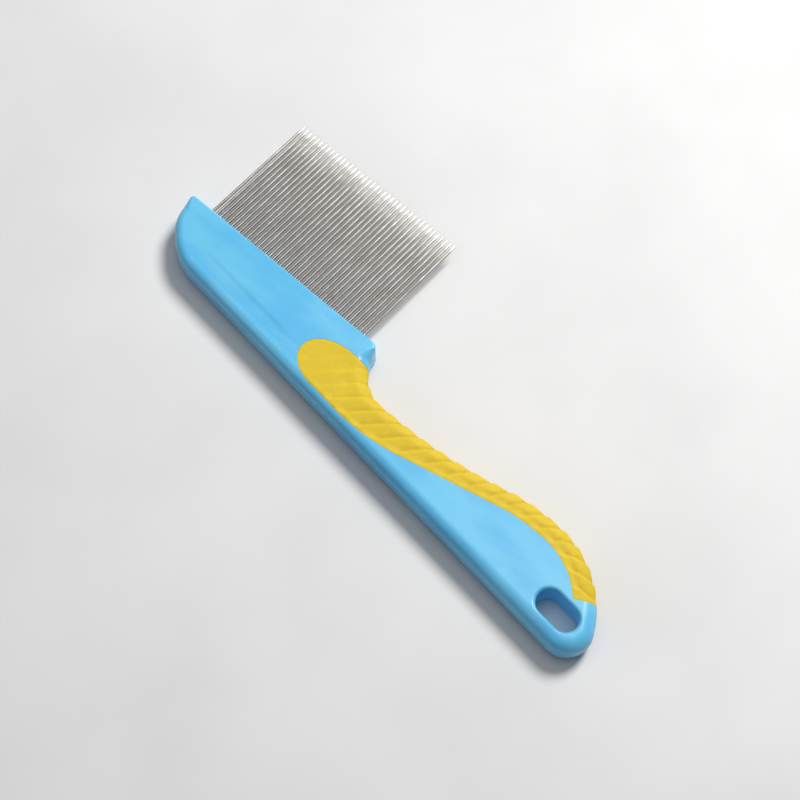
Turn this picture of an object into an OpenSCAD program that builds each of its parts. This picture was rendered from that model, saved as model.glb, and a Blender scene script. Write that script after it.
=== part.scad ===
// Fine-pin flea comb with a long moulded handle and a soft grip along its belly.
// The comb lies flat: X runs from the head to the tail, Y towards the pin tips, Z through its thickness.
// The origin is at the bottom centre of the whole comb.

/* [Overall] */
// Length from the front end of the head to the tail
comb_l = 185; // [165:1:222]
// Thickness of the head and handle
thick = 10; // [9:0.5:13]

/* [Head] */
// Distance from the front end to the first pin
front_margin = 6.8; // [4:0.1:10]
// Distance from the last pin to the heel corner
heel_margin = 6.8; // [4:0.1:10]
// Depth of the head at its front end, from the pin edge to the line of the back
head_d = 18; // [17:0.5:22]
// How far the front end leans back on its way down
nose_lean = 1; // [0:0.2:2]
// Depth at which the front end starts to turn under
nose_drop = 9.2; // [7:0.2:10]
// Distance from the front end at which the back has become straight
chin_x = 11; // [9:0.5:14]
// Angle between the pin edge and the back of the handle
back_angle = 6; // [4:0.5:8]
// How far the heel wall leans towards the tail
heel_lean = 5; // [3:0.5:8]

/* [Handle] */
// Depth of the finger hollow below the pin edge
hollow_d = 12.6; // [10:0.2:15]
// Depth of the palm hump below the pin edge
hump_d = 6.2; // [4:0.2:9]
// Share of the handle behind the heel at which the hollow starts to rise
hollow_at = 0.35; // [0.3:0.01:0.4]
// Share of the handle behind the heel at which the rise ends in the hump
hump_at = 0.62; // [0.56:0.01:0.64]
// Radius of the tail
tail_r = 8; // [6:0.5:9]
// Steepness of the slope from the hump down to the tail
tail_angle = 60; // [55:1:65]
// Radius along the long edges of the handle
edge_r = 4.4; // [3:0.1:5]
// Radius along the edge that the pins leave
root_edge_r = 0.9; // [0.5:0.1:1.2]

/* [Hang slot] */
// Length of the hang slot
slot_l = 14.5; // [10:0.5:18]
// Width of the hang slot
slot_w = 8; // [5:0.5:10]
// Distance from the tail to the middle of the slot
slot_from_tail = 12.8; // [12:0.2:18]
// Wall between the slot and the back of the handle
slot_wall = 4.8; // [4:0.2:6]
// Size of the bevel around the mouths of the slot
slot_bevel = 0.9; // [0.5:0.1:1.2]

/* [Grip] */
// Depth of the soft grip below the surface of the handle
grip_depth = 1.8; // [1.4:0.1:2.2]
// Width of the grip along the belly of the handle
grip_band = 7.2; // [6:0.2:9]
// Strip of hard handle left between the grip and the back
grip_rim = 2.6; // [2:0.2:4]
// Length of the rounded head end of the thumb pad
pad_l = 12; // [10:0.5:13]
// Distance from the heel corner to the widest place of the thumb pad
pad_back = 4.5; // [3:0.5:6]
// Height of the thumb pad
pad_h = 16; // [13:0.5:17]
// Distance along the slope behind the hump at which the grip ends
grip_stop = 13.5; // [11:0.5:15]
// Distance behind the heel corner at which the grip reaches the belly
grip_start = 10; // [9:0.5:14]
// Diameter of the plugs that tie the two faces of the grip together
plug_d = 4; // [3:0.5:5]

/* [Grip ribs] */
// Distance between neighbouring grooves along the grip
rib_pitch = 6.3; // [5:0.1:8]
// Number of grooves across each face of the grip
groove_count = 16; // [8:1:16]
// Width of a groove
groove_w = 0.9; // [0.6:0.1:1.5]
// Depth of a groove
groove_depth = 0.5; // [0.3:0.1:0.8]
// Angle between a groove and the pin edge
groove_lean = 47; // [35:1:60]
// Distance of the first groove ahead of the heel corner
groove_lead = 4; // [2:0.5:8]

/* [Pins] */
// Number of pins
pin_count = 41; // [31:1:41]
// Distance between neighbouring pins
pin_pitch = 1.6; // [1.4:0.05:1.95]
// Diameter of a pin
pin_d = 1; // [0.8:0.05:1.2]
// Length of a pin outside the head
pin_out = 43; // [30:0.5:55]
// Length of a pin inside the head
pin_in = 14; // [8:0.5:14]
// Length of the tapered tip
tip_l = 3; // [1:0.5:6]
// Diameter at the end of the tip
tip_d = 0.5; // [0.3:0.05:0.7]
// Distance from the buried end of a pin to the groove that locks it in the moulding
lock_from = 4.5; // [3:0.5:5]
// Width of the groove that locks a pin in the moulding
lock_w = 1.2; // [0.8:0.1:2]
// Depth of the groove that locks a pin in the moulding
lock_depth = 0.15; // [0.1:0.01:0.2]
// Gap between a pin and its socket, none because the head is moulded around the pins
pin_gap = 0; // [0:0.01:0.05]

/* [Hidden] */
// Steps in each rounded corner of the outline
corner_steps = 6;
// Steps in the rounding of the long edges
edge_steps = 3;
// Smallest flat left at mid-thickness between the two roundings of a long edge
seam_min = 0.4;
// Largest share of an outer corner's radius by which the body is drawn in there
inset_share = 0.8;
// Smallest edge radius on the sunk copies of the body
sunk_edge_min = 0.4;
// How far the rounding of the long edges runs past the two faces before they trim it
face_trim = 0.02;
// How far cutters run past the surfaces they cut
over = 1;
// Reach of the small corners at the two ends of the pin edge
front_reach = 1.4;
heel_reach = 1.6;
// Share of the edge radius that the front end of the head keeps
front_share = 0.65;
// Shares of the straight sides that the large curves take up
nose_share = 0.3;
chin_share = 0.48;
foot_share = 0.27;
hollow_share = 0.68;
rise_share = 0.23;
brow_share = 0.66;
// Extra depth of the hollow's lowest corner, which its rounding takes away again
hollow_sag = 0.5;
// Reach of the roundings along the grip's inner border, from the foot to the hump
border_reach = [12, 6, 15];
// Number of plugs, and their spacing along and across the grip
plug_count = 3;
plug_step = [17, -1.6];

pin_row = (pin_count - 1) * pin_pitch;
head_l = front_margin + pin_row + heel_margin;
handle_l = comb_l - head_l;
soft_edge = min(edge_r, thick / 2 - seam_min);
front_edge = min(front_share * edge_r, soft_edge);

function unit(v) = v / norm(v);
function aim(a) = [cos(a), sin(a)];
function turned(v, a) = [v.x * cos(a) - v.y * sin(a), v.x * sin(a) + v.y * cos(a)];
function flat(p) = [p.x, p.y];
function back_y(x) = -head_d - tan(back_angle) * x;
function side_l(a, b) = norm(flat(b) - flat(a));
// Where the line through p along u meets the line through q along v
function meet(p, u, q, v) = p + u * cross(q - p, v) / cross(u, v);

// Main corners of the outline before rounding
heel = [head_l, 0];
heel_foot = [head_l + heel_lean, -hollow_d];
hollow = [head_l + hollow_at * handle_l, -hollow_d - hollow_sag];
nose = [nose_lean, -nose_drop];
chin = [chin_x, back_y(chin_x)];
hump = [head_l + hump_at * handle_l, -hump_d];
tail_x = comb_l - tail_r;
tail_mid = [tail_x, back_y(tail_x) + tail_r / cos(back_angle)];
tail_half = (180 - tail_angle + back_angle) / 2;
tail = tail_mid + tail_r / cos(tail_half) * aim(tail_half - 90 - back_angle);
brow = [tail.x - (-hump_d - tail.y) / tan(tail_angle), -hump_d];

// Reach of the rounding at the foot of the heel wall, kept clear of the small corner above it
foot_reach = min(foot_share * side_l(heel_foot, hollow), side_l(heel_foot, heel) - heel_reach - seam_min);

// Reach of the rounding at the brow, kept clear of the tail's
brow_reach = min(brow_share * side_l(hump, brow), side_l(brow, tail) - tail_r * tan(tail_half) - seam_min);

// Corners counterclockwise from the front end of the pin edge: [x, y, reach of the rounding, edge radius]
GUIDE = [
    [0, 0, front_reach, root_edge_r],
    [nose.x, nose.y, nose_share * side_l(nose, chin), front_edge],
    [chin.x, chin.y, chin_share * side_l(nose, chin), front_edge],
    [tail.x, tail.y, tail_r * tan(tail_half), soft_edge],
    [brow.x, brow.y, brow_reach, soft_edge],
    [hump.x, hump.y, rise_share * side_l(hump, brow), soft_edge],
    [hollow.x, hollow.y, hollow_share * side_l(hollow, hump), soft_edge],
    [heel_foot.x, heel_foot.y, foot_reach, soft_edge],
    [heel.x, heel.y, heel_reach, root_edge_r]
];

// Points [x, y, inward x, inward y, edge radius, most it may be inset] along the rounding of corner b
function rounding(a, b, c, steps) =
    let (to_a = unit(flat(a) - flat(b)))
    let (to_c = unit(flat(c) - flat(b)))
    let (half = acos(to_a * to_c) / 2)
    let (turn = cross(to_a, to_c) < 0 ? 1 : -1)
    let (r = b[2] * tan(half))
    let (mid = flat(b) + r / sin(half) * unit(to_a + to_c))
    let (spoke = (flat(b) + b[2] * to_a - mid) / r)
    let (most = turn > 0 ? inset_share * r : comb_l)
    [for (k = [0:steps])
        let (out = turned(spoke, turn * (180 - 2 * half) * k / steps))
        [mid.x + r * out.x, mid.y + r * out.y, -turn * out.x, -turn * out.y, b[3], most]];

// A closed list of corners turned into the points of its rounded outline
function rounded(corners, steps) =
    let (n = len(corners))
    [for (i = [0:n - 1]) each rounding(corners[(i + n - 1) % n], corners[i], corners[(i + 1) % n], steps)];

OUTLINE = rounded(GUIDE, corner_steps);
SIZE = len(OUTLINE);
X_MIN = min([for (p = OUTLINE) p.x]);
X_MAX = max([for (p = OUTLINE) p.x]);
Y_MIN = min([for (p = OUTLINE) p.y]);
frame_shift = [-(X_MIN + X_MAX) / 2, -(Y_MIN + pin_out) / 2, thick / 2];

// Levels of the edge rounding from the bottom to the top: [side of the seam, angle up from the seam, run past the face]
LEVELS = [
    [-1, 90, over],
    for (k = [0:edge_steps]) [-1, 90 * (1 - k / edge_steps), 0],
    for (k = [0:edge_steps]) [1, 90 * k / edge_steps, 0],
    [1, 90, over]
];

// A ring around the comb whose inner wall is the comb's rounded side, sunk by a given depth
module rim_cutter(sink) {
    h = thick / 2 - sink + face_trim;
    inner = [
        for (level = LEVELS, p = OUTLINE)
            let (e = max(p[4] - sink, sunk_edge_min))
            let (inset = min(sink + e * (1 - cos(level[1])), p[5]))
            [p.x + inset * p[2], p.y + inset * p[3], level[0] * (h - e + e * sin(level[1]) + level[2])]
    ];
    outer = [for (side = [1, -1], p = OUTLINE) [p.x - over * p[2], p.y - over * p[3], side * (h + over)]];
    rows = len(LEVELS) + 2;
    faces = [
        for (k = [0:rows - 1], i = [0:SIZE - 1])
            let (a = k * SIZE + i)
            let (b = k * SIZE + (i + 1) % SIZE)
            let (c = (k + 1) % rows * SIZE + (i + 1) % SIZE)
            let (d = (k + 1) % rows * SIZE + i)
            each [[a, c, d], [a, b, c]]
    ];
    polyhedron(concat(inner, outer), faces);
}

// The body of the comb with rounded long edges, sunk below its outer surface by a given depth
module pebble(sink) {
    difference() {
        linear_extrude(thick - 2 * sink, center = true)
            polygon([for (p = OUTLINE) [p.x - over / 2 * p[2], p.y - over / 2 * p[3]]]);
        rim_cutter(sink);
    }
}

// Corners of the grip's inner border, which runs beside the belly and then beside the back
rise_dir = unit(hump - hollow);
fall_dir = unit(flat(tail) - brow);
inner_brow = meet(brow - [0, grip_band], [1, 0], brow + grip_band * turned(fall_dir, -90), fall_dir);
inner_rise = hollow + grip_band * turned(rise_dir, -90);
inner_hump = meet(brow - [0, grip_band], [1, 0], inner_rise, rise_dir);
rim_y = grip_rim / cos(back_angle);
inner_foot = meet([0, back_y(0) + rim_y], aim(-back_angle), inner_rise, rise_dir);
grip_end = brow + grip_stop * fall_dir;
run_out = grip_end + border_reach[2] * fall_dir;
border_fit = min(1, (side_l(inner_hump, inner_brow) - seam_min) / (border_reach[1] + border_reach[2]));
pad_mid = [head_l - pad_back, back_y(head_l - pad_back) + rim_y + pad_h / 2];
pad_top = pad_mid.y + pad_h / 2;

// The area of the grip seen from above, running past the belly on the outside and past its end at the tail
function grip_area() =
    let (border = [
        [pad_mid.x, back_y(pad_mid.x) + rim_y],
        [inner_foot.x, inner_foot.y, border_fit * border_reach[0]],
        [inner_hump.x, inner_hump.y, border_fit * border_reach[1]],
        [inner_brow.x, inner_brow.y, border_fit * border_reach[2]],
        run_out + grip_band * turned(fall_dir, -90)
    ])
    [
        for (k = [1:3]) each [for (p = rounding(border[k - 1], border[k], border[k + 1], corner_steps)) flat(p)],
        border[4],
        run_out - grip_band * turned(fall_dir, -90),
        [comb_l + grip_band, over],
        [head_l + grip_start, over],
        [head_l + grip_start, pad_top],
        for (a = [90:10:270]) pad_mid + [pad_l * cos(a), pad_h / 2 * sin(a)]
    ];

// The grip area run through the whole comb and cut off square to the slope where the grip ends
module grip_prism() {
    linear_extrude(thick + 2 * over, center = true)
        difference() {
            polygon(grip_area());
            translate(grip_end)
                rotate(-tail_angle)
                    translate([0, -comb_l / 2])
                        square(comb_l);
        }
}

// Slanted grooves across both faces of the grip
module grooves() {
    for (k = [0:groove_count - 1])
        translate([head_l - groove_lead + k * rib_pitch, -hollow_d, 0])
            rotate(groove_lean)
                for (face = [-1, 1])
                    translate([0, 0, face * thick / 2])
                        cube([2 * pad_h, groove_w, 2 * groove_depth], center = true);
}

// Plugs of soft grip through the hard handle, ending inside the two faces of the grip
module plugs() {
    for (k = [0:plug_count - 1])
        translate([pad_mid.x + k * plug_step.x, pad_mid.y + k * plug_step.y, 0])
            cylinder(h = thick - grip_depth, d = plug_d, center = true, $fn = 48);
}

// Stadium through the tail, widened at both mouths by a bevel
module hang_slot() {
    at = [comb_l - slot_from_tail, back_y(comb_l - slot_from_tail) + (slot_wall + slot_w / 2) / cos(back_angle)];
    half = (slot_l - slot_w) / 2;
    mouth_z = thick / 2 - slot_bevel;
    mouth_r = slot_w / 2 + slot_bevel;
    translate([at.x, at.y, 0])
        rotate(-back_angle) {
            cube([2 * half, slot_w, thick + 2 * over], center = true);
            for (end = [-1, 1])
                translate([end * half, 0, 0]) {
                    cylinder(h = thick + 2 * over, d = slot_w, center = true, $fn = 64);
                    for (face = [0, 180])
                        rotate([face, 0, 0])
                            translate([0, 0, mouth_z])
                                cylinder(h = 2 * slot_bevel, r1 = slot_w / 2, r2 = mouth_r + slot_bevel, $fn = 64);
                }
            for (face = [0, 180])
                rotate([face, 0, 0])
                    rotate([90, 0, 90])
                        linear_extrude(2 * half, center = true)
                            polygon([
                                [-slot_w / 2, mouth_z],
                                [slot_w / 2, mouth_z],
                                [mouth_r + slot_bevel, mouth_z + 2 * slot_bevel],
                                [-mouth_r - slot_bevel, mouth_z + 2 * slot_bevel]
                            ]);
        }
}

// One pin about its own axis: its buried end at the bottom and its tapered, rounded tip at the top
module pin_shape(gap) {
    r = pin_d / 2 + gap;
    neck_r = r - lock_depth;
    full = pin_in + pin_out;
    tip_r = tip_d / 2;
    rotate_extrude($fn = 32)
        polygon([
            [0, -gap],
            [r, -gap],
            [r, lock_from],
            [neck_r, lock_from + lock_depth],
            [neck_r, lock_from + lock_w - lock_depth],
            [r, lock_from + lock_w],
            [r, full - tip_l],
            [tip_r, full - tip_r],
            for (a = [30:30:60]) [tip_r * cos(a), full - tip_r + tip_r * sin(a)],
            [0, full]
        ]);
}

// A pin laid in its place along the pin edge, at mid-thickness
module placed_pin(number, gap) {
    translate([front_margin + (number - 1) * pin_pitch, -pin_in, 0])
        rotate([-90, 0, 0])
            pin_shape(gap);
}

module handle_body() {
    color("skyblue")
        translate(frame_shift)
            difference() {
                pebble(0);
                difference() {
                    grip_prism();
                    pebble(grip_depth);
                }
                plugs();
                hang_slot();
                for (number = [1:pin_count])
                    placed_pin(number, pin_gap);
            }
}

module grip() {
    color("gold")
        translate(frame_shift) {
            difference() {
                intersection() {
                    grip_prism();
                    pebble(0);
                }
                pebble(grip_depth);
                grooves();
            }
            plugs();
        }
}

module pin(number) {
    color("silver")
        translate(frame_shift)
            placed_pin(number, 0);
}

PIN_NODES = [for (number = [1:pin_count]) str("pin_", number < 10 ? "0" : "", number)];

handle_body();
grip();
for (number = [1:pin_count])
    pin(number);
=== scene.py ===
import math

import bmesh
import bpy
import numpy as np
from mathutils import Matrix, Vector


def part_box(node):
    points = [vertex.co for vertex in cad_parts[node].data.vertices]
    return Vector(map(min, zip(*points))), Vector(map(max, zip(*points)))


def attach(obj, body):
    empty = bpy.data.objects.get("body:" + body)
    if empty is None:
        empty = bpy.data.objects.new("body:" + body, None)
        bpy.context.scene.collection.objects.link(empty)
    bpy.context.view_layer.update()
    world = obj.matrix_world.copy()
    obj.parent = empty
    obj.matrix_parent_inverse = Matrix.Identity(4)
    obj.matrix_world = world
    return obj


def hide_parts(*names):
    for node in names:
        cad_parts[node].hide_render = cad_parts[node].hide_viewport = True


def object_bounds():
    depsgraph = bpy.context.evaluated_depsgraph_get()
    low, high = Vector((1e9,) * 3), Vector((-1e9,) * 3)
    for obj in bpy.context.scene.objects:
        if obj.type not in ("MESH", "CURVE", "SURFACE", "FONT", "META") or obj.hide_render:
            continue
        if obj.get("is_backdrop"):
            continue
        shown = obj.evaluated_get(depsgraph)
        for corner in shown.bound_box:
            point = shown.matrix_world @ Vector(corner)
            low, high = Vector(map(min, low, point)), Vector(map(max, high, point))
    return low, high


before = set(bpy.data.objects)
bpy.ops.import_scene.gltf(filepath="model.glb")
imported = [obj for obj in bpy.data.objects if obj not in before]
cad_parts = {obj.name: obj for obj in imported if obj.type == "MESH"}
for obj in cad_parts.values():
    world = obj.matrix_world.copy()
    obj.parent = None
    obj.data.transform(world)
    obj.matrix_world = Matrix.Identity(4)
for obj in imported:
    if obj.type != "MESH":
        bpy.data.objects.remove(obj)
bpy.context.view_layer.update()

bl_info = {
    "name": "Flea comb",
    "version": (1, 0, 0),
    "blender": (4, 5, 0),
    "location": "View3D > Sidebar > Flea comb",
    "description": "Builds a fine-pin flea comb with a soft grip over its CAD frame",
    "category": "Object",
}

MM = 0.001
PIN_NODES = sorted(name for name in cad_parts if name.startswith("pin_"))

# Reach of the small corners at the two ends of the pin edge
FRONT_REACH = 1.4 * MM
HEEL_REACH = 1.6 * MM
# Shares of the straight sides that the large curves of the outline take up
NOSE_SHARE = 0.3
CHIN_SHARE = 0.48
FOOT_SHARE = 0.27
HOLLOW_SHARE = 0.68
RISE_SHARE = 0.23
BROW_SHARE = 0.66
# Reach of the roundings along the grip's inner border, from the foot to the hump
BORDER_REACH = (12 * MM, 6 * MM, 15 * MM)
# Largest share of an outer corner's radius by which the body is drawn in there
INSET_SHARE = 0.8
# Smallest edge radius on the sunk copies of the body
SUNK_EDGE_MIN = 0.4 * MM
# How far cutters run past the surfaces they cut
OVER = MM
# Points closer together than this are one point
MERGE = 1e-7
# Faces that meet at more than this keep a sharp edge between them
SHARP_ANGLE = math.radians(38)

# Steps of the curves, each given as a full value and a coarser one
CORNER_STEPS = (14, 8)
EDGE_STEPS = (9, 5)
SLOT_STEPS = (6, 3)
SOCKET_SIDES = (20, 10)
PIN_SIDES = (24, 12)
TIP_STEPS = 4


def length(name, millimetres, description):
    return bpy.props.FloatProperty(
        name=name, description=description, default=millimetres * MM, subtype="DISTANCE", unit="LENGTH"
    )


def angle(name, degrees, description):
    return bpy.props.FloatProperty(
        name=name, description=description, default=math.radians(degrees), subtype="ANGLE", unit="ROTATION"
    )


def share(name, value, description):
    return bpy.props.FloatProperty(name=name, description=description, default=value, min=0.0, max=1.0)


def colour(name, value, description):
    return bpy.props.FloatVectorProperty(
        name=name, description=description, default=value, size=3, subtype="COLOR", min=0.0, max=1.0
    )


class CombSizes(bpy.types.PropertyGroup):
    """Driving sizes: the outline's are those of the CAD source, the ribs and soft edges this model's own"""

    comb_l: length("Comb length", 185, "From the front end of the head to the tail")
    head_l: length("Head length", 77.6, "From the front end of the head to the heel corner")
    head_d: length("Head depth", 18, "From the pin edge to the line of the back, at the front end")
    back_angle: angle("Back angle", 6, "Between the pin edge and the back")
    nose_x: length("Nose lean", 1, "How far the front end leans back")
    nose_drop: length("Nose drop", 9.2, "Depth at which the front end starts to turn under")
    chin_x: length("Chin", 11, "Distance at which the back has become straight")
    heel_lean: length("Heel lean", 5, "How far the heel wall leans towards the tail")
    hollow_d: length("Hollow depth", 12.6, "Depth of the finger hollow below the pin edge")
    hollow_sag: length("Hollow sag", 0.5, "Extra depth of the hollow's corner before rounding")
    hump_d: length("Hump depth", 6.2, "Depth of the palm hump below the pin edge")
    hollow_at: share("Hollow end", 0.35, "Share of the handle at which the hollow starts to rise")
    hump_at: share("Hump start", 0.62, "Share of the handle at which the rise ends in the hump")
    tail_r: length("Tail radius", 8, "Radius of the tail")
    tail_angle: angle("Tail slope", 60, "Steepness of the slope down to the tail")
    edge_r: length("Edge radius", 4.4, "Rounding of the long edges of the handle")
    front_r: length("Front edge radius", 2.86, "Rounding of the edges at the front end")
    root_r: length("Root edge radius", 0.9, "Rounding of the edge that the pins leave")
    grip_depth: length("Grip depth", 1.8, "Thickness of the soft grip")
    grip_band: length("Grip band", 7.2, "Width of the grip along the belly")
    grip_rim: length("Grip rim", 2.6, "Hard strip left between the grip and the back")
    grip_start: length("Grip start", 10, "Distance behind the heel at which the grip reaches the belly")
    grip_stop: length("Grip stop", 13.5, "Distance down the slope at which the grip ends")
    pad_l: length("Pad length", 12, "Length of the rounded end of the thumb pad")
    pad_back: length("Pad place", 4.5, "From the heel to the widest place of the thumb pad")
    pad_h: length("Pad height", 16, "Height of the thumb pad")
    edge_roll: length("Grip roll", 0.12, "How far the grip dips to meet the hard handle")
    roll_w: length("Grip roll width", 0.35, "Width of the strip in which the grip dips")
    rib_fade: length("Rib fade", 2.4, "Width beside the grip's edge over which the ribs die out")
    rib_grid: length("Rib grid", 0.5, "Distance between the points that shape the ribs")
    rib_pitch: length("Rib pitch", 6.3, "Distance between neighbouring ribs")
    rib_depth: length("Rib depth", 0.55, "Height of a rib above its groove")
    rib_lean: angle("Rib lean", 47, "Angle between a rib and the belly")
    rib_lead: length("Rib lead", 2, "Shift of the ribs along the belly")
    slot_l: length("Slot length", 14.5, "Length of the hang slot")
    slot_w: length("Slot width", 8, "Width of the hang slot")
    slot_from_tail: length("Slot place", 12.8, "From the tail to the middle of the slot")
    slot_wall: length("Slot wall", 4.8, "Wall between the slot and the back")
    slot_round: length("Slot rounding", 1.1, "Rounding of the mouths of the slot")
    tip_l: length("Tip length", 3, "Length of a pin's taper")
    tip_r: length("Tip radius", 0.25, "Radius of a pin's rounded end")
    socket_gap: length("Socket gap", 0.01, "Gap around a pin in the head, for the mesh only")


class CombColours(bpy.types.PropertyGroup):
    """Colours of the comb and of the place it lies on"""

    blue: colour("Plastic", (0.135, 0.520, 0.790), "Hard handle")
    blue_deep: colour("Plastic, deep", (0.085, 0.440, 0.760), "Hard handle where the moulding flowed")
    blue_pale: colour("Plastic, rubbed", (0.230, 0.610, 0.880), "Hard handle where it is rubbed")
    amber: colour("Grip", (0.660, 0.480, 0.024), "Soft grip")
    # Colour of the painted shade in the grip's grooves, also used for its random darker specks
    amber_shade_and_speck: colour("Grip, deep", (0.360, 0.200, 0.004), "Soft grip in its grooves")
    amber_pale: colour("Grip, dry", (0.760, 0.570, 0.050), "Soft grip where it is dry")
    steel: colour("Steel", (0.560, 0.545, 0.520), "Pins")
    steel_warm: colour("Steel, warm", (0.330, 0.295, 0.250), "Pins where the drawing marks are deep")
    floor: colour("Floor", (0.700, 0.705, 0.715), "Plain pale floor")
    floor_shade: colour("Floor, mottled", (0.660, 0.665, 0.675), "Faint mottling of the floor")


class Wire:
    """One output of a material's node tree, with arithmetic that adds the nodes it needs"""

    def __init__(self, tree, socket):
        self.tree = tree
        self.socket = socket

    def node(self, kind, inputs, output=0, **settings):
        """Any node of the tree, its inputs by name or number, and the output that is wanted"""
        made = self.tree.nodes.new(kind)
        for name, value in settings.items():
            setattr(made, name, value)
        for key, value in inputs.items():
            if isinstance(value, Wire):
                self.tree.links.new(value.socket, made.inputs[key])
            else:
                made.inputs[key].default_value = value
        return Wire(self.tree, made.outputs[output])

    def maths(self, operation, *values):
        return self.node("ShaderNodeMath", dict(enumerate(values)), operation=operation)

    def __add__(self, other):
        return self.maths("ADD", self, other)

    def __radd__(self, other):
        return self.maths("ADD", other, self)

    def __sub__(self, other):
        return self.maths("SUBTRACT", self, other)

    def __rsub__(self, other):
        return self.maths("SUBTRACT", other, self)

    def __mul__(self, other):
        return self.maths("MULTIPLY", self, other)

    def noise(self, size, detail=2.0, roughness=0.5):
        """Soft noise over this place, its blobs about the given size in metres"""
        return self.node(
            "ShaderNodeTexNoise",
            {"Vector": self, "Scale": 1 / size, "Detail": detail, "Roughness": roughness},
        )

    def stretched(self, *factors):
        return self.node("ShaderNodeVectorMath", {0: self, 1: factors}, operation="MULTIPLY")

    def between(self, low, high):
        """0 below low and 1 above high, with a smooth step between"""
        return self.node(
            "ShaderNodeMapRange",
            {"Value": self, "From Min": low, "From Max": high},
            interpolation_type="SMOOTHSTEP",
        )

    def blend(self, first, second):
        """The first colour where this is 0 and the second where it is 1"""
        return self.node(
            "ShaderNodeMix", {0: self, 6: first, 7: second}, output=2, data_type="RGBA", clamp_factor=True
        )

    def part(self, axis):
        return self.node("ShaderNodeSeparateXYZ", {0: self}, output=axis)


def material(name, build, **constants):
    """A material whose varying inputs come from build(place), a dict with an optional bump"""
    made = bpy.data.materials.new(name)
    made.use_nodes = True
    tree = made.node_tree
    tree.nodes.clear()
    output = tree.nodes.new("ShaderNodeOutputMaterial")
    shader = tree.nodes.new("ShaderNodeBsdfPrincipled")
    tree.links.new(shader.outputs[0], output.inputs[0])
    for key, value in constants.items():
        shader.inputs[key.replace("_", " ").title().replace("Ior", "IOR")].default_value = value
    coordinates = tree.nodes.new("ShaderNodeTexCoord")
    place = Wire(tree, coordinates.outputs["Object"])
    varying = build(place)
    height, distance = varying.pop("bump")
    normal = place.node("ShaderNodeBump", {"Height": height, "Distance": distance, "Strength": 1.0})
    tree.links.new(normal.socket, shader.inputs["Normal"])
    for key, wire in varying.items():
        tree.links.new(wire.socket, shader.inputs[key])
    return made


def rgba(value):
    return (*value, 1.0)


def plastic(colours, crease):
    """Glossy moulded plastic with flow marks, rubbing, fine scratches and a soft crease on the head"""

    def build(place):
        flow = place.stretched(0.35, 1.0, 1.0).noise(9 * MM, 3.0)
        rubbed = place.noise(2.2 * MM, 5.0, 0.62).between(0.56, 0.74)
        grain = place.noise(0.35 * MM, 2.0)
        scratch = place.stretched(0.06, 1.0, 1.0).noise(0.5 * MM, 1.0).between(0.66, 0.72)
        body = flow.between(0.35, 0.68).blend(rgba(colours.blue), rgba(colours.blue_deep))
        along = place.node(
            "ShaderNodeVectorMath", {0: place, 1: crease["normal"]}, output=1, operation="DOT_PRODUCT"
        )
        dip = (along - crease["at"]).between(-crease["width"], crease["width"])
        near = place.part(0).between(crease["x_in"] - 8 * MM, crease["x_in"]) * (
            1.0 - place.part(0).between(crease["x_out"], crease["x_out"] + 14 * MM)
        )
        return {
            "Base Color": (rubbed * 0.18).blend(body, rgba(colours.blue_pale)),
            "Roughness": 0.3 + flow * 0.07 + rubbed * 0.08 + scratch * 0.1,
            "Coat Weight": 0.16 - rubbed * 0.1,
            "bump": (dip * near * 0.22 + flow * 0.07 + grain * 0.006 - scratch * 0.006, 1.0 * MM),
        }

    return build


def rubber(colours):
    """Matt soft grip with a fine moulded grain, dry patches, random darker specks and painted shade in its
    grooves
    """

    def build(place):
        groove = place.node("ShaderNodeAttribute", {}, output=2, attribute_name="groove")
        # Painted shade: mask that darkens the grip where its grooves are deep
        deep = groove.between(0.45, 1.0)
        dry = place.noise(4 * MM, 4.0, 0.6).between(0.46, 0.72)
        grain = place.noise(0.28 * MM, 3.0, 0.6)
        speck = place.noise(0.9 * MM, 2.0).between(0.62, 0.7)
        body = (dry * 0.4).blend(rgba(colours.amber), rgba(colours.amber_pale))
        worn = (speck * 0.12).blend(body, rgba(colours.amber_shade_and_speck))
        return {
            # Painted shade in the grooves, laid over the grip's own colour and specks
            "Base Color": (deep * 0.35).blend(worn, rgba(colours.amber_shade_and_speck)),
            "Roughness": 0.5 + dry * 0.12 + grain * 0.1,
            "bump": (grain * 0.045 + dry * 0.02, 1.0 * MM),
        }

    return build


def steel(colours):
    """Bright drawn steel with fine marks along the pins"""

    def build(place):
        drawn = place.stretched(1.0, 0.03, 1.0).noise(0.12 * MM, 3.0)
        cloudy = place.stretched(1.0, 0.4, 1.0).noise(3 * MM, 3.0)
        tone = (drawn * 0.5 + cloudy * 0.5).between(0.42, 0.66)
        return {
            "Base Color": (tone * 0.6).blend(rgba(colours.steel), rgba(colours.steel_warm)),
            "Roughness": 0.17 + drawn * 0.16,
            "bump": (drawn * 0.01, 1.0 * MM),
        }

    return build


def paper(colours):
    """Plain pale floor with a faint tooth"""

    def build(place):
        mottle = place.noise(60 * MM, 3.0)
        tooth = place.noise(0.6 * MM, 2.0)
        return {
            "Base Color": mottle.between(0.3, 0.7).blend(rgba(colours.floor), rgba(colours.floor_shade)),
            "Roughness": 0.62 + mottle * 0.1,
            "bump": (tooth * 0.01, 1.0 * MM),
        }

    return build


def detail(fine, coarse):
    """The fine value; the coarse one is not used"""
    return fine


def unit(turn):
    return Vector((math.cos(turn), math.sin(turn)))


def right_of(v):
    """A direction in the plane turned a quarter clockwise"""
    return Vector((v.y, -v.x))


def meet(p, u, q, v):
    """Where the line through p along u meets the line through q along v"""
    return p + u * ((q - p).cross(v) / u.cross(v))


def clipped(points, place, ahead):
    """The part of a closed outline behind a line through the place, square to the direction ahead"""
    kept = []
    for a, b in zip(points[-1:] + points[:-1], points):
        past_a, past_b = (a - place).dot(ahead), (b - place).dot(ahead)
        if (past_a > 0) != (past_b > 0):
            kept.append(a.lerp(b, past_a / (past_a - past_b)))
        if past_b <= 0:
            kept.append(b)
    return kept


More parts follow.
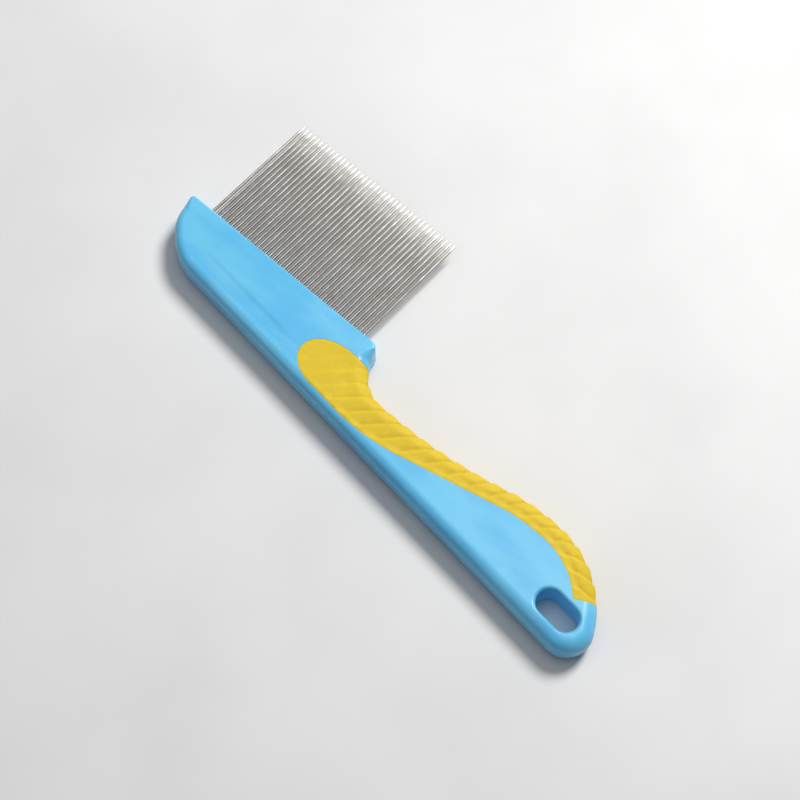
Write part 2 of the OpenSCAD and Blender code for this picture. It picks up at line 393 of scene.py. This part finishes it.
class Shape:
    """The comb seen from above, worked out from the driving sizes and fitted to the frame's box"""

    def __init__(self, sizes, steps):
        self.sizes = sizes
        self.steps = steps
        self.low, self.high = (Vector(corner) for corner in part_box("handle_body"))
        self.middle = (self.low.z + self.high.z) / 2
        self.half = (self.high.z - self.low.z) / 2
        self.corners = self.main_corners()
        outline = self.rounded(self.corners)
        self.design_low = Vector((min(p[0].x for p in outline), min(p[0].y for p in outline)))
        self.design_high = Vector((max(p[0].x for p in outline), max(p[0].y for p in outline)))
        self.outline = [(self.placed(p), inward, edge, most) for p, inward, edge, most in outline]
        self.border = [self.placed(p) for p in self.grip_border()]
        self.belly = self.belly_line()

    def back(self, x):
        return -self.sizes.head_d - math.tan(self.sizes.back_angle) * x

    def placed(self, p):
        """A point of the design moved to its place in the frame"""
        return Vector(
            [
                self.low[i]
                + (p[i] - self.design_low[i])
                * (self.high[i] - self.low[i])
                / (self.design_high[i] - self.design_low[i])
                for i in range(2)
            ]
        )

    def main_corners(self):
        """Corners counterclockwise from the front end of the pin edge: place, reach, edge radius"""
        s = self.sizes
        handle_l = s.comb_l - s.head_l
        nose = Vector((s.nose_x, -s.nose_drop))
        chin = Vector((s.chin_x, self.back(s.chin_x)))
        heel = Vector((s.head_l, 0))
        foot = Vector((s.head_l + s.heel_lean, -s.hollow_d))
        self.hollow = Vector((s.head_l + s.hollow_at * handle_l, -s.hollow_d - s.hollow_sag))
        self.hump = Vector((s.head_l + s.hump_at * handle_l, -s.hump_d))
        tail_x = s.comb_l - s.tail_r
        tail_mid = Vector((tail_x, self.back(tail_x) + s.tail_r / math.cos(s.back_angle)))
        half = (math.pi - s.tail_angle + s.back_angle) / 2
        tail = tail_mid + unit(half - math.pi / 2 - s.back_angle) * (s.tail_r / math.cos(half))
        self.brow = Vector((tail.x - (-s.hump_d - tail.y) / math.tan(s.tail_angle), -s.hump_d))
        self.tail = tail
        return [
            (Vector((0, 0)), FRONT_REACH, s.root_r),
            (nose, NOSE_SHARE * (chin - nose).length, s.front_r),
            (chin, CHIN_SHARE * (chin - nose).length, s.front_r),
            (tail, s.tail_r * math.tan(half), s.edge_r),
            (self.brow, BROW_SHARE * (self.hump - self.brow).length, s.edge_r),
            (self.hump, RISE_SHARE * (self.hump - self.brow).length, s.edge_r),
            (self.hollow, HOLLOW_SHARE * (self.hollow - self.hump).length, s.edge_r),
            (foot, FOOT_SHARE * (foot - self.hollow).length, s.edge_r),
            (heel, HEEL_REACH, s.root_r),
        ]

    def arc(self, a, corner, c):
        """The rounding of one corner: points, inward directions, edge radius, deepest inset"""
        b, reach, edge = corner
        to_a = (a - b).normalized()
        to_c = (c - b).normalized()
        half = to_a.angle(to_c) / 2
        turn = 1 if to_a.cross(to_c) < 0 else -1
        radius = reach * math.tan(half)
        mid = b + (to_a + to_c).normalized() * (radius / math.sin(half))
        spoke = (b + to_a * reach - mid) / radius
        most = INSET_SHARE * radius if turn > 0 else self.sizes.comb_l
        sweep = turn * (math.pi - 2 * half)
        for k in range(self.steps + 1):
            out = Matrix.Rotation(sweep * k / self.steps, 2) @ spoke
            yield mid + out * radius, out * -turn, edge, most

    def rounded(self, corners):
        points = []
        for i, corner in enumerate(corners):
            points.extend(self.arc(corners[i - 1][0], corner, corners[(i + 1) % len(corners)][0]))
        return points

    def grip_border(self):
        """The edge of the grip area, running past the belly on its outer side"""
        s = self.sizes
        rise = (self.hump - self.hollow).normalized()
        fall = (self.tail - self.brow).normalized()
        level = Vector((1, 0))
        band = Vector((0, s.grip_band))
        in_fall = self.brow + right_of(fall) * s.grip_band
        in_rise = self.hollow + right_of(rise) * s.grip_band
        rim = s.grip_rim / math.cos(s.back_angle)
        foot = meet(Vector((0, self.back(0) + rim)), unit(-s.back_angle), in_rise, rise)
        end = self.brow + fall * s.grip_stop
        beyond = end + fall * BORDER_REACH[2]
        pad_x = s.head_l - s.pad_back
        pad = Vector((pad_x, self.back(pad_x) + rim + s.pad_h / 2))
        path = [
            (Vector((pad_x, self.back(pad_x) + rim)), 0, 0),
            (foot, BORDER_REACH[0], 0),
            (meet(self.brow - band, level, in_rise, rise), BORDER_REACH[1], 0),
            (meet(self.brow - band, level, in_fall, fall), BORDER_REACH[2], 0),
            (beyond + right_of(fall) * s.grip_band, 0, 0),
        ]
        points = []
        for i in range(1, 4):
            points.extend(p for p, _, _, _ in self.arc(path[i - 1][0], path[i], path[i + 1][0]))
        points.append(path[4][0])
        points.append(beyond - right_of(fall) * s.grip_band)
        points.append(Vector((s.comb_l + s.grip_band, OVER)))
        points.append(Vector((s.head_l + s.grip_start, OVER)))
        points.append(Vector((s.head_l + s.grip_start, pad.y + s.pad_h / 2)))
        for k in range(4 * self.steps + 1):
            turn = math.pi * (0.5 + k / (4 * self.steps))
            points.append(pad + Vector((s.pad_l * math.cos(turn), s.pad_h / 2 * math.sin(turn))))
        return clipped(points, end, fall)

    def belly_line(self):
        """The belly from the foot to the tail, begun by a straight stretch under the thumb pad"""
        row = self.steps + 1
        tail_corner, foot_corner = 3, 7
        line = [p for p, _, _, _ in self.outline[tail_corner * row : foot_corner * row + 1]]
        line.append(line[-1] - Vector((self.sizes.head_l / 2, 0)))
        return line[::-1]


def nearest(places, path):
    """How far each place lies to the right of a path, and how far along the path its nearest point is"""
    places = np.array(places)[:, None, :]
    a, b = np.array(path[:-1]), np.array(path[1:])
    along = b - a
    lengths = np.linalg.norm(along, axis=1)
    share_along = np.clip(((places - a) * along).sum(axis=2) / lengths**2, 0, 1)
    offset = places - a - along * share_along[:, :, None]
    away = np.linalg.norm(offset, axis=2)
    best = away.argmin(axis=1)
    side = np.sign(along[:, 1] * offset[:, :, 0] - along[:, 0] * offset[:, :, 1])
    rows = np.arange(len(best))
    before = np.concatenate([[0], np.cumsum(lengths)])[best]
    return (side * away)[rows, best], before + (share_along * lengths)[rows, best]


def lofted(rings):
    """A closed skin through rings of equal count, each ring pulled out of the one before"""
    bm = bmesh.new()
    verts = [bm.verts.new(p) for p in rings[0]]
    bm.faces.new(verts)
    edges = [bm.edges.get((verts[i - 1], verts[i])) for i in range(len(verts))]
    for ring in rings[1:]:
        made = bmesh.ops.extrude_edge_only(bm, edges=edges)["geom"]
        fresh = [e for e in made if isinstance(e, bmesh.types.BMVert)]
        where = {v.co.to_tuple(9): v for v in fresh}
        following = [where[v.co.to_tuple(9)] for v in verts]
        for v, p in zip(following, ring):
            v.co = p
        edges = [bm.edges.get((following[i - 1], following[i])) for i in range(len(following))]
        verts = following
    bmesh.ops.contextual_create(bm, geom=edges)
    bmesh.ops.recalc_face_normals(bm, faces=bm.faces)
    return bm


def skin(shape, sink, edge_steps):
    """The comb's outer surface, sunk by a given depth, with rounded long edges"""
    rings = []
    for side in (-1, 1):
        for k in range(edge_steps + 1):
            up = math.pi / 2 * (k / edge_steps if side > 0 else 1 - k / edge_steps)
            ring = []
            for p, inward, edge, most in shape.outline:
                e = max(edge - sink, SUNK_EDGE_MIN)
                inset = min(sink + e * (1 - math.cos(up)), most)
                flat = p + inward * inset
                z = shape.middle + side * (shape.half - sink - e + e * math.sin(up))
                ring.append(Vector((flat.x, flat.y, z)))
            rings.append(ring)
    return lofted(rings)


def prism(shape):
    """The grip area run through the whole comb"""
    reach = shape.half + OVER
    rings = []
    for side in (-1, 1):
        rings.append([Vector((p.x, p.y, shape.middle + side * reach)) for p in shape.border])
    return lofted(rings)


def stadium(shape, steps):
    """The hang slot as a cutter, its mouths flared by a quarter round"""
    s = shape.sizes
    x = s.comb_l - s.slot_from_tail
    centre = shape.placed(
        Vector((x, shape.back(x) + (s.slot_wall + s.slot_w / 2) / math.cos(s.back_angle)))
    )
    turn = Matrix.Rotation(-s.back_angle, 2)
    half = (s.slot_l - s.slot_w) / 2
    part = []
    for k in range(steps + 1):
        a = math.pi / 2 * k / steps
        part.append((s.slot_round * (1 - math.cos(a)), shape.half - s.slot_round * (1 - math.sin(a))))
    part.append((s.slot_round, shape.half + OVER))
    levels = [(grow, -z) for grow, z in part[::-1]] + part
    rings = []
    for grow, z in levels:
        ring = []
        for end in (1, -1):
            for k in range(4 * steps + 1):
                a = math.pi * (k / (4 * steps) - 0.5)
                local = Vector((end * half, 0)) + unit(a) * (end * (s.slot_w / 2 + grow))
                flat = centre + turn @ local
                ring.append(Vector((flat.x, flat.y, shape.middle + z)))
        rings.append(ring)
    return lofted(rings)


def temporary(bm, name):
    mesh = bpy.data.meshes.new(name)
    bm.to_mesh(mesh)
    bm.free()
    made = bpy.data.objects.new(name, mesh)
    bpy.context.scene.collection.objects.link(made)
    return made


def combined(target, tool, operation):
    """The target's mesh joined with, cut by or kept inside the tool, which is used up"""
    step = target.modifiers.new("combine", "BOOLEAN")
    step.operation = operation
    step.solver = "EXACT"
    step.object = tool
    bpy.context.view_layer.update()
    result = bpy.data.meshes.new_from_object(target.evaluated_get(bpy.context.evaluated_depsgraph_get()))
    target.modifiers.clear()
    old = target.data
    target.data = result
    bpy.data.meshes.remove(old)
    spent = tool.data
    bpy.data.objects.remove(tool)
    bpy.data.meshes.remove(spent)
    return target


def finished(made, surface, nodes):
    """A piece with smooth shading, its material and the CAD nodes it stands for"""
    mesh = made.data
    bm = bmesh.new()
    bm.from_mesh(mesh)
    bmesh.ops.remove_doubles(bm, verts=bm.verts, dist=MERGE)
    bmesh.ops.recalc_face_normals(bm, faces=bm.faces)
    bm.to_mesh(mesh)
    bm.free()
    mesh.polygons.foreach_set("use_smooth", [True] * len(mesh.polygons))
    mesh.set_sharp_from_angle(angle=SHARP_ANGLE)
    mesh.materials.clear()
    mesh.materials.append(surface)
    weighted = made.modifiers.new("weighted", "WEIGHTED_NORMAL")
    weighted.keep_sharp = True
    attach(made, "root")
    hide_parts(*nodes)
    return made


def pin_mesh(node, sizes, gap, segments):
    """A pin turned about its own axis at its place in the frame, wider by a gap when it cuts a socket"""
    low, high = (Vector(corner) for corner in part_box(node))
    radius = (high.x - low.x) / 2 + gap
    centre = Vector(((low.x + high.x) / 2, low.y - gap, (low.z + high.z) / 2))
    full = high.y - low.y + gap
    taper = full - sizes.tip_l
    profile = [(0, 0), (radius, 0), (radius, taper * 0.5), (radius, taper)]
    profile.append((sizes.tip_r + (radius - sizes.tip_r) * 0.3, taper + (full - sizes.tip_r - taper) * 0.75))
    for k in range(TIP_STEPS):
        a = math.pi / 2 * k / TIP_STEPS
        profile.append((sizes.tip_r * math.cos(a), full - sizes.tip_r + sizes.tip_r * math.sin(a)))
    profile.append((0, full))
    bm = bmesh.new()
    verts = [bm.verts.new((centre.x + r, centre.y + along, centre.z)) for r, along in profile]
    edges = [bm.edges.new(pair) for pair in zip(verts, verts[1:])]
    bmesh.ops.spin(
        bm,
        geom=verts + edges,
        cent=centre,
        axis=(0, 1, 0),
        angle=math.tau,
        steps=segments,
        use_merge=True,
    )
    bmesh.ops.remove_doubles(bm, verts=bm.verts, dist=MERGE)
    bmesh.ops.recalc_face_normals(bm, faces=bm.faces)
    return bm


def eased(t):
    """A smooth step from 0 to 1"""
    t = min(max(t, 0), 1)
    return t * t * (3 - 2 * t)


def rib_drop(phase):
    """Depth below the crest, as a share: a steep side towards the head and a gentle fall behind it"""
    crest = 0.17
    hollowness = 1.5
    if phase < crest:
        return 1 - eased(phase / crest)
    return ((phase - crest) / (1 - crest)) ** hollowness


def ribbed(grip, shape):
    """Lets the grip's surface fall between slanted ribs, and keeps the fall as the mesh attribute groove,
    from which the grip's material paints shade into the grooves
    """
    s = shape.sizes
    smallest_face = MM * MM
    faint = 0.2
    rise_from, rise_over = 4 * MM, 26 * MM
    bm = bmesh.new()
    bm.from_mesh(grip.data)
    bmesh.ops.remove_doubles(bm, verts=bm.verts, dist=MERGE)
    bmesh.ops.recalc_face_normals(bm, faces=bm.faces)
    faces = [f for f in bm.faces if abs(f.normal.z) > 0.999 and f.calc_area() > smallest_face]
    bmesh.ops.inset_region(bm, faces=faces, thickness=s.roll_w, use_even_offset=False, use_boundary=True)
    step = detail(s.rib_grid, 2 * s.rib_grid)
    for axis in (0, 1):
        normal = Vector((1 - axis, axis, 0))
        spread = [v.co[axis] for v in bm.verts]
        for k in range(math.ceil(min(spread) / step), math.floor(max(spread) / step) + 1):
            geometry = bm.verts[:] + bm.edges[:] + bm.faces[:]
            bmesh.ops.bisect_plane(bm, geom=geometry, plane_co=normal * k * step, plane_no=normal, dist=MERGE)
    bm.normal_update()
    groove = bm.verts.layers.float.new("groove")
    verts = bm.verts[:]
    normals = [v.normal.copy() for v in verts]
    places = [v.co.xy for v in verts]
    from_border, _ = nearest(places, shape.border + shape.border[:1])
    from_belly, station = nearest(places, shape.belly)
    pad_start = shape.placed(Vector((s.head_l - s.pad_back - s.pad_l, 0))).x - shape.belly[0].x
    for v, normal, border, belly, along in zip(verts, normals, from_border, from_belly, station):
        phase = (along + belly / math.tan(s.rib_lean) + s.rib_lead) / s.rib_pitch % 1
        border = abs(border)
        strength = faint + (1 - faint) * eased((along - pad_start - rise_from) / rise_over)
        rib = rib_drop(phase) * strength * eased(border / s.rib_fade)
        drop = max(rib * s.rib_depth, s.edge_roll * (1 - eased(border / s.roll_w)))
        v[groove] = rib
        if border > 10 * MERGE:
            v.co -= normal * drop
        elif abs(v.co.z - shape.middle) > s.grip_depth:
            v.co.z -= math.copysign(drop, v.co.z - shape.middle)
    bm.to_mesh(grip.data)
    bm.free()
    return grip


def crease_pattern(shape):
    """A soft crease on the head that runs beside the back"""
    middle = Vector((45 * MM, -14.6 * MM))
    half_width = 1.1 * MM
    starts, ends = 22 * MM, 50 * MM
    normal = unit(math.pi / 2 - shape.sizes.back_angle)
    return {
        "normal": (normal.x, normal.y, 0.0),
        "at": shape.placed(middle).dot(normal),
        "width": half_width,
        "x_in": shape.low.x + starts,
        "x_out": shape.low.x + ends,
    }


class FLEACOMB_OT_handle(bpy.types.Operator):
    """Hard handle with its rounded edges, grip recess, hang slot and pin sockets"""

    bl_idname = "fleacomb.handle"
    bl_label = "Handle"

    def execute(self, context):
        sizes = context.scene.flea_comb_sizes
        shape = Shape(sizes, detail(*CORNER_STEPS))
        steps = detail(*EDGE_STEPS)
        made = temporary(skin(shape, 0.0, steps), "hard_handle")
        recess = temporary(prism(shape), "recess")
        recess = combined(recess, temporary(skin(shape, sizes.grip_depth, steps), "core"), "DIFFERENCE")
        made = combined(made, recess, "DIFFERENCE")
        made = combined(made, temporary(stadium(shape, detail(*SLOT_STEPS)), "slot"), "DIFFERENCE")
        for node in PIN_NODES:
            cutter = temporary(pin_mesh(node, sizes, sizes.socket_gap, detail(*SOCKET_SIDES)), "socket")
            made = combined(made, cutter, "DIFFERENCE")
        surface = material(
            "hard plastic",
            plastic(context.scene.flea_comb_colours, crease_pattern(shape)),
            ior=1.49,
            coat_roughness=0.12,
            subsurface_weight=0.05,
            subsurface_scale=0.002,
        )
        finished(made, surface, ["handle_body"])
        return {"FINISHED"}


class FLEACOMB_OT_grip(bpy.types.Operator):
    """Soft grip with its slanted ribs, thumb pad and dipped edge"""

    bl_idname = "fleacomb.grip"
    bl_label = "Grip"

    def execute(self, context):
        sizes = context.scene.flea_comb_sizes
        shape = Shape(sizes, detail(*CORNER_STEPS))
        steps = detail(*EDGE_STEPS)
        made = temporary(skin(shape, 0.0, steps), "soft_grip")
        made = combined(made, temporary(prism(shape), "area"), "INTERSECT")
        made = ribbed(made, shape)
        made = combined(made, temporary(skin(shape, sizes.grip_depth, steps), "core"), "DIFFERENCE")
        surface = material(
            "soft grip",
            rubber(context.scene.flea_comb_colours),
            ior=1.4,
            specular_ior_level=0.3,
        )
        finished(made, surface, ["grip"])
        return {"FINISHED"}


class FLEACOMB_OT_pins(bpy.types.Operator):
    """Turned steel pins with tapered, rounded tips"""

    bl_idname = "fleacomb.pins"
    bl_label = "Pins"

    def execute(self, context):
        sizes = context.scene.flea_comb_sizes
        surface = material("drawn steel", steel(context.scene.flea_comb_colours), metallic=1.0)
        for node in PIN_NODES:
            made = temporary(pin_mesh(node, sizes, 0.0, detail(*PIN_SIDES)), "steel_" + node)
            finished(made, surface, [node])
        return {"FINISHED"}


class FLEACOMB_OT_stage(bpy.types.Operator):
    """Plain pale floor, soft lights and the camera"""

    bl_idname = "fleacomb.stage"
    bl_label = "Floor, lights and camera"

    # The comb lies turned in the view, so right and away are directions in its own plane
    RIGHT = Vector((0.7384, 0.6743, 0.0))
    AWAY = Vector((-0.6743, 0.7384, 0.0))
    AIM = Vector((-0.00057, -0.00873, 0.0))
    ELEVATION = math.radians(65)
    DISTANCE = 0.6325
    LENS = 94.5
    FLOOR_HALF = 1.5
    FLOOR_DROP = 0.05 * MM

    def lamp(self, context, name, right, away, up, size, watts, tint):
        light = bpy.data.lights.new(name, "AREA")
        light.shape = "DISK"
        light.size = size
        light.energy = watts
        light.color = tint
        made = bpy.data.objects.new(name, light)
        made.location = self.AIM + self.RIGHT * right + self.AWAY * away + Vector((0, 0, up))
        made.rotation_euler = (self.AIM - made.location).to_track_quat("-Z", "Y").to_euler()
        context.scene.collection.objects.link(made)
        made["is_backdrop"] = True

    def execute(self, context):
        scene = context.scene
        bm = bmesh.new()
        bmesh.ops.create_grid(bm, x_segments=8, y_segments=8, size=self.FLOOR_HALF)
        floor = temporary(bm, "floor")
        floor.location.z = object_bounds()[0][2] - self.FLOOR_DROP
        floor.data.materials.append(material("pale floor", paper(scene.flea_comb_colours)))
        floor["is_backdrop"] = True

        warm, cool, white = (1.0, 0.98, 0.95), (0.93, 0.97, 1.0), (1.0, 1.0, 1.0)
        self.lamp(context, "key", right=0.4, away=0.42, up=0.75, size=0.34, watts=9.6, tint=warm)
        self.lamp(context, "fill", right=-0.6, away=-0.25, up=0.7, size=0.9, watts=0.8, tint=cool)
        self.lamp(context, "top", right=0.0, away=0.1, up=1.1, size=0.9, watts=2.2, tint=white)

        world = bpy.data.worlds.new("studio")
        world.use_nodes = True
        background = world.node_tree.nodes["Background"]
        background.inputs["Color"].default_value = (0.93, 0.95, 1.0, 1.0)
        background.inputs["Strength"].default_value = 0.13
        scene.world = world
        scene.view_settings.view_transform = "Standard"

        eye = bpy.data.cameras.new("view")
        eye.lens = self.LENS
        eye.sensor_width = 36.0
        eye.clip_start = 0.01
        camera = bpy.data.objects.new("view", eye)
        flat = -self.AWAY * math.cos(self.ELEVATION)
        camera.location = self.AIM + (flat + Vector((0, 0, math.sin(self.ELEVATION)))) * self.DISTANCE
        camera.rotation_euler = (self.AIM - camera.location).to_track_quat("-Z", "Y").to_euler()
        scene.collection.objects.link(camera)
        scene.camera = camera
        camera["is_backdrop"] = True
        return {"FINISHED"}


OPERATORS = (FLEACOMB_OT_handle, FLEACOMB_OT_grip, FLEACOMB_OT_pins, FLEACOMB_OT_stage)


class FLEACOMB_PT_panel(bpy.types.Panel):
    """Lists the pieces of the comb in the sidebar"""

    bl_idname = "FLEACOMB_PT_panel"
    bl_label = "Flea comb"
    bl_space_type = "VIEW_3D"
    bl_region_type = "UI"
    bl_category = "Flea comb"

    def draw(self, context):
        for operator in OPERATORS:
            self.layout.operator(operator.bl_idname)


CLASSES = (CombSizes, CombColours, *OPERATORS, FLEACOMB_PT_panel)


def register():
    for cls in CLASSES:
        bpy.utils.register_class(cls)
    bpy.types.Scene.flea_comb_sizes = bpy.props.PointerProperty(type=CombSizes)
    bpy.types.Scene.flea_comb_colours = bpy.props.PointerProperty(type=CombColours)


def unregister():
    del bpy.types.Scene.flea_comb_colours
    del bpy.types.Scene.flea_comb_sizes
    for cls in reversed(CLASSES):
        bpy.utils.unregister_class(cls)


def main():
    register()
    bpy.ops.fleacomb.handle()
    bpy.ops.fleacomb.grip()
    bpy.ops.fleacomb.pins()
    bpy.ops.fleacomb.stage()


if __name__ == "__main__":
    main()
